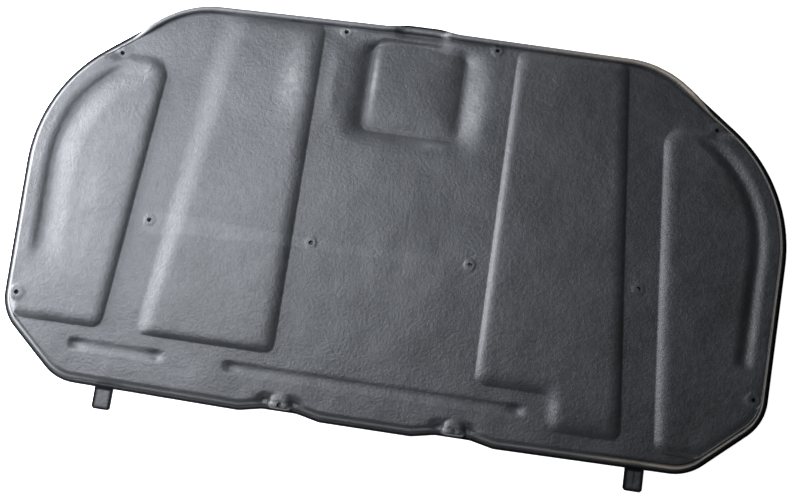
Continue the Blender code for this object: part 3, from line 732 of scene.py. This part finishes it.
def open_holes(grid):
    """Widens the grid round each clip hole: square rings of points become circles, blended into the grid."""
    grid = grid.copy()
    taken = np.zeros((grid.shape[0] - 1, grid.shape[1] - 1), bool)
    for hole_x, hole_y, _, _ in clip_holes():
        centre = np.array((hole_x, hole_y))
        i0, j0 = np.unravel_index(np.argmin(((grid - centre) ** 2).sum(axis=2)), grid.shape[:2])
        reach = min(HOLE_REACH, i0, j0, grid.shape[0] - 1 - i0, grid.shape[1] - 1 - j0)
        part = grid[i0 - reach:i0 + reach + 1, j0 - reach:j0 + reach + 1]
        i, j = np.meshgrid(*[np.arange(-reach, reach + 1)] * 2, indexing="ij")
        ring = np.maximum(np.abs(i), np.abs(j))
        cell = np.hypot(*(part[-1, -1] - part[0, 0])) / (2.0 * np.sqrt(2.0) * reach)
        radius = np.maximum(HOLE_R + (ring - HOLE_BLOCK) * cell, 0.5 * HOLE_R)
        away = np.stack([i, j], axis=2) / np.maximum(np.hypot(i, j), 1.0)[:, :, None]
        blend = smooth((ring - HOLE_BLOCK) / (reach - HOLE_BLOCK))[:, :, None]
        part[:] = (centre + radius[:, :, None] * away) * (1.0 - blend) + part * blend
        taken[i0 - HOLE_BLOCK:i0 + HOLE_BLOCK, j0 - HOLE_BLOCK:j0 + HOLE_BLOCK] = True
    return grid, taken


def tab_rows(root):
    """Rows of points of a tab below its root row: straight down to a tip whose corners are round."""
    centre = root[:, 0].mean()
    from_side = 0.5 * TAB_WIDTH - np.abs(root[:, 0] - centre)
    corner = clamp(1.0 - from_side / TAB_R)
    tip_y = REAR_Y - TAB_LENGTH + TAB_R * (1.0 - np.sqrt(1.0 - np.minimum(corner, TAB_CORNER_END) ** 2))
    down = np.linspace(0.0, 1.0, TAB_ROWS)[1:, None]
    y = root[None, :, 1] + (tip_y - root[:, 1])[None, :] * down
    return np.stack([np.broadcast_to(root[None, :, 0], y.shape), y], axis=2)


def quads(index):
    """Four-sided faces between the rows and columns of an index grid, facing up."""
    return np.stack([index[:-1, :-1], index[1:, :-1], index[1:, 1:], index[:-1, 1:]], axis=2).reshape(-1, 4)


def pad_mesh():
    """Face, tabs, rolled cut edge, walls of the holes and flat back, as one closed mesh."""
    grid, taken = open_holes(face_grid())
    index = np.arange(grid.shape[0] * grid.shape[1]).reshape(grid.shape[:2])
    faces = [quads(index)[~taken.reshape(-1)]]
    places = [grid.reshape(-1, 2)]
    count = index.size
    for side in (-1.0, 1.0):
        on_tab = np.abs(grid[:, 0, 0] - side * TAB_X) < 0.5 * TAB_WIDTH + TOUCH
        rows = tab_rows(grid[on_tab, 0])
        tab_index = count + np.arange(rows.shape[0] * rows.shape[1]).reshape(rows.shape[:2])
        joined = np.concatenate([index[on_tab, 0][None, :], tab_index])
        faces.append(quads(joined.T[:, ::-1]))
        places.append(rows.reshape(-1, 2))
        count += tab_index.size
    places, faces = np.concatenate(places), np.concatenate(faces)
    edge = depth_inside(places, rounded(felt_edge()))
    z = np.maximum(moulding(places, edge) + handwork(places, edge), THINNEST_SHARE * LIP_Z)

    mesh = bpy.data.meshes.new("pad_felt")
    mesh.from_pydata(np.column_stack([places, z]), [], faces)
    work = bmesh.new()
    work.from_mesh(mesh)
    bmesh.ops.delete(work, geom=[v for v in work.verts if not v.link_faces], context="VERTS")
    rim = [e for e in work.edges if e.is_boundary]
    for share in EDGE_STEPS:
        made = bmesh.ops.extrude_edge_only(work, edges=rim)["geom"]
        for vertex in made:
            if isinstance(vertex, bmesh.types.BMVert):
                vertex.co.z *= share
        rim = [e for e in made if isinstance(e, bmesh.types.BMEdge) and e.is_boundary]
    bmesh.ops.triangle_fill(work, edges=rim, use_beauty=True)
    bmesh.ops.recalc_face_normals(work, faces=work.faces)
    work.to_mesh(mesh)
    work.free()
    mesh.shade_smooth()
    mesh.set_sharp_from_angle(angle=SHARP_ANGLE)
    mark_felt(mesh)
    return mesh


def mark_felt(mesh):
    """Strength of every mark at each point of the mesh, as attributes that the felt material reads."""
    spots = np.empty(len(mesh.vertices) * 3)
    mesh.vertices.foreach_get("co", spots)
    spots = spots.reshape(-1, 3)
    edge = depth_inside(spots[:, :2], rounded(felt_edge()))
    x, y = spots[:, 0], spots[:, 1]
    on_tab = y < REAR_Y - TAB_STARTS
    tab_edge = np.minimum(0.5 * TAB_WIDTH - np.abs(np.abs(x) - TAB_X), y - REAR_Y + TAB_LENGTH)
    edge = np.where(on_tab, tab_edge, edge)
    # Towards the shaded right end the lip is tan and painted much lighter, a painted highlight on its brown
    # colour.
    to_right = smooth((x - RIGHT_END[0]) / RIGHT_END[1])
    firm = 1.0 - plain_rear(x, y)
    lip = firm * hump((edge - LIP_LINE[0]) / LIP_LINE[1]) * ~on_tab
    at, width, strength = PAINTED_CREASE_SHADE
    # Painted shade along the cut edge and in the crease.
    cut = np.maximum(smooth(PAINTED_EDGE_SHADE[0] - edge / PAINTED_EDGE_SHADE[1]), strength * firm * hump((edge - at) / width))
    marks = (
        ("tan_lip_and_highlight", lip * to_right), ("pale_lip", lip * (1.0 - to_right)), ("painted_edge_shade", cut),
        # The pressed band is painted lighter as a painted sheen; the pale smudges are partly painted
        # highlights.
        ("pressed", pressed_band(x, y)), ("wear_and_painted_highlight", scuffs_and_highlights(x, y)),
    )
    for name, value in marks:
        mesh.attributes.new(name, "FLOAT", "POINT").data.foreach_set("value", clamp(value).astype(np.float32))


def felt_material():
    """Black non-woven felt with a broad soft gloss: fibres, mottling, slow clouds of tone, and the marks."""
    felt = bpy.data.materials.new("moulded_black_felt")
    felt.use_nodes = True
    nodes, links = felt.node_tree.nodes, felt.node_tree.links
    shader = nodes["Principled BSDF"]
    shader.inputs["Roughness"].default_value = FELT_ROUGHNESS
    for name, value in zip(("Sheen Weight", "Sheen Roughness", "Sheen Tint"), FELT_SHEEN):
        shader.inputs[name].default_value = value
    where = nodes.new("ShaderNodeTexCoord")

    def noise(scale, detail, roughness):
        node = nodes.new("ShaderNodeTexNoise")
        node.inputs["Scale"].default_value = scale
        node.inputs["Detail"].default_value = detail
        node.inputs["Roughness"].default_value = roughness
        links.new(where.outputs["Object"], node.inputs["Vector"])
        return node.outputs["Fac"]

    def blend(kind, factor, first, second):
        node = nodes.new("ShaderNodeMix")
        node.data_type = "RGBA"
        node.blend_type = kind
        for socket, value in ((node.inputs[0], factor), (node.inputs[6], first), (node.inputs[7], second)):
            if isinstance(value, bpy.types.NodeSocket):
                links.new(value, socket)
            else:
                socket.default_value = value
        return node.outputs[2]

    def spread(source, low, high):
        node = nodes.new("ShaderNodeMapRange")
        node.inputs["From Min"].default_value = low
        node.inputs["From Max"].default_value = high
        links.new(source, node.inputs["Value"])
        return node.outputs["Result"]

    fibres, lumps, mottle, clouds = [noise(*each) for each in (FIBRES, LUMPS, MOTTLE, CLOUDS)]
    tone = blend("MIX", spread(fibres, *FIBRES_PART), FIBRE_DARK, FIBRE_LIGHT)
    tone = blend("MULTIPLY", spread(mottle, *MOTTLE_PART), tone, MOTTLED)
    tone = blend("MIX", spread(clouds, *CLOUDS_PART), tone, blend("ADD", CLOUD_SHARE, tone, CLOUDED))
    for name, share, colour in MARKS:
        mark = nodes.new("ShaderNodeAttribute")
        mark.attribute_name = name
        part = nodes.new("ShaderNodeMath")
        part.operation = "MULTIPLY"
        part.inputs[1].default_value = share
        links.new(mark.outputs["Fac"], part.inputs[0])
        tone = blend("MIX", part.outputs[0], tone, colour)
    links.new(tone, shader.inputs["Base Color"])
    # The gloss drops where the painted edge shade lies; it is the last mark read.
    dulled = nodes.new("ShaderNodeMapRange")
    dulled.inputs["To Min"].default_value, dulled.inputs["To Max"].default_value = FELT_GLOSS
    links.new(mark.outputs["Fac"], dulled.inputs["Value"])
    links.new(dulled.outputs["Result"], shader.inputs["Specular IOR Level"])

    bump = nodes.new("ShaderNodeBump")
    bump.inputs["Strength"].default_value = 1.0
    bump.inputs["Distance"].default_value = BUMP_DISTANCE
    grain = nodes.new("ShaderNodeMath")
    grain.operation = "MULTIPLY_ADD"
    grain.inputs[1].default_value = FIBRES_IN_BUMP
    links.new(fibres, grain.inputs[0])
    links.new(lumps, grain.inputs[2])
    links.new(grain.outputs[0], bump.inputs["Height"])
    links.new(bump.outputs["Normal"], shader.inputs["Normal"])
    return felt


def floor():
    """Wide pale floor just under the pad: lit from within, except for the patch that the pad covers."""
    patch = rounded(inset(felt_edge(plain=True), FLOOR_PATCH_INSET))
    corners = np.array([(-1.0, -1.0), (1.0, -1.0), (1.0, 1.0), (-1.0, 1.0)]) * FLOOR_HALF
    work = bmesh.new()
    rims = []
    for loop in (corners, patch):
        ring = [work.verts.new((x, y, FLOOR_Z)) for x, y in loop]
        rims += [work.edges.new((ring[i - 1], ring[i])) for i in range(len(ring))]
    bmesh.ops.triangle_fill(work, edges=rims, use_beauty=True)
    covered = work.faces.new(ring)
    covered.material_index = 1
    for face in work.faces:
        if face.normal.z < 0.0:
            face.normal_flip()
    mesh = bpy.data.meshes.new("pale_floor")
    work.to_mesh(mesh)
    work.free()
    for name, glow in (("pale_paint", FLOOR_GLOW), ("pale_paint_covered", 0.0)):
        paint = bpy.data.materials.new(name)
        paint.use_nodes = True
        shader = paint.node_tree.nodes["Principled BSDF"]
        shader.inputs["Base Color"].default_value = FLOOR_PAINT
        shader.inputs["Roughness"].default_value = FLOOR_ROUGHNESS
        shader.inputs["Emission Color"].default_value = WHITE
        shader.inputs["Emission Strength"].default_value = glow
        mesh.materials.append(paint)
    sheet = bpy.data.objects.new("pale_floor", mesh)
    bpy.context.scene.collection.objects.link(sheet)


def soft_light(name, place, power, colour):
    """Rectangular soft light at a place, turned to the pad."""
    lamp = bpy.data.lights.new(name, "AREA")
    lamp.shape = "RECTANGLE"
    lamp.size, lamp.size_y = LIGHT_SIZE
    lamp.energy = power
    lamp.color = colour
    item = bpy.data.objects.new(name, lamp)
    item.location = place
    item.rotation_euler = (Vector(LIGHT_TARGET) - Vector(place)).to_track_quat("-Z", "Y").to_euler()
    bpy.context.scene.collection.objects.link(item)


def studio():
    """Soft lights over the left end, two weak fills and a faint surround."""
    for light in LIGHTS:
        soft_light(*light)
    world = bpy.data.worlds.new("surround")
    world.use_nodes = True
    world.node_tree.nodes["Background"].inputs["Color"].default_value = WHITE
    world.node_tree.nodes["Background"].inputs["Strength"].default_value = SURROUND
    bpy.context.scene.world = world
    bpy.context.scene.view_settings.view_transform = "Standard"


def camera():
    """Looks straight down with a slight lean, rolled as the pad lies in the view."""
    lean, heading, roll = np.radians((LEAN, HEADING, ROLL))
    towards = np.array((np.tan(lean) * np.sin(heading), -np.tan(lean) * np.cos(heading), 1.0))
    towards /= np.linalg.norm(towards)
    right = np.array((1.0, 0.0, 0.0)) - towards[0] * towards
    right /= np.linalg.norm(right)
    up = np.cross(towards, right)
    cos, sin = np.cos(roll), np.sin(roll)
    right, up = cos * right + sin * up, cos * up - sin * right
    eye = bpy.data.cameras.new("view")
    eye.sensor_width = SENSOR
    eye.lens = LENS
    item = bpy.data.objects.new("view", eye)
    place = np.array(LOOKS_AT) + CAMERA_DISTANCE * towards
    turn = Matrix(np.column_stack([right, up, towards]).tolist()).to_4x4()
    item.matrix_world = Matrix.Translation(place.tolist()) @ turn
    bpy.context.scene.collection.objects.link(item)
    bpy.context.scene.camera = item


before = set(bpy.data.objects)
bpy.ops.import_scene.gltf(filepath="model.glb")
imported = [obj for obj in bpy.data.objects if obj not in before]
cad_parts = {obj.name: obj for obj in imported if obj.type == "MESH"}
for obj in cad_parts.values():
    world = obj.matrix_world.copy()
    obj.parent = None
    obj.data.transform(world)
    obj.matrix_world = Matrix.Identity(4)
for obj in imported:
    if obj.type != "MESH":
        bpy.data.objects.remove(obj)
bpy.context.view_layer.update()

camera()
pad = bpy.data.objects.new("pad_felt", pad_mesh())
pad.data.materials.append(felt_material())
bpy.context.scene.collection.objects.link(pad)
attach(pad, "root")
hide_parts("insulation_pad")
floor()
studio()
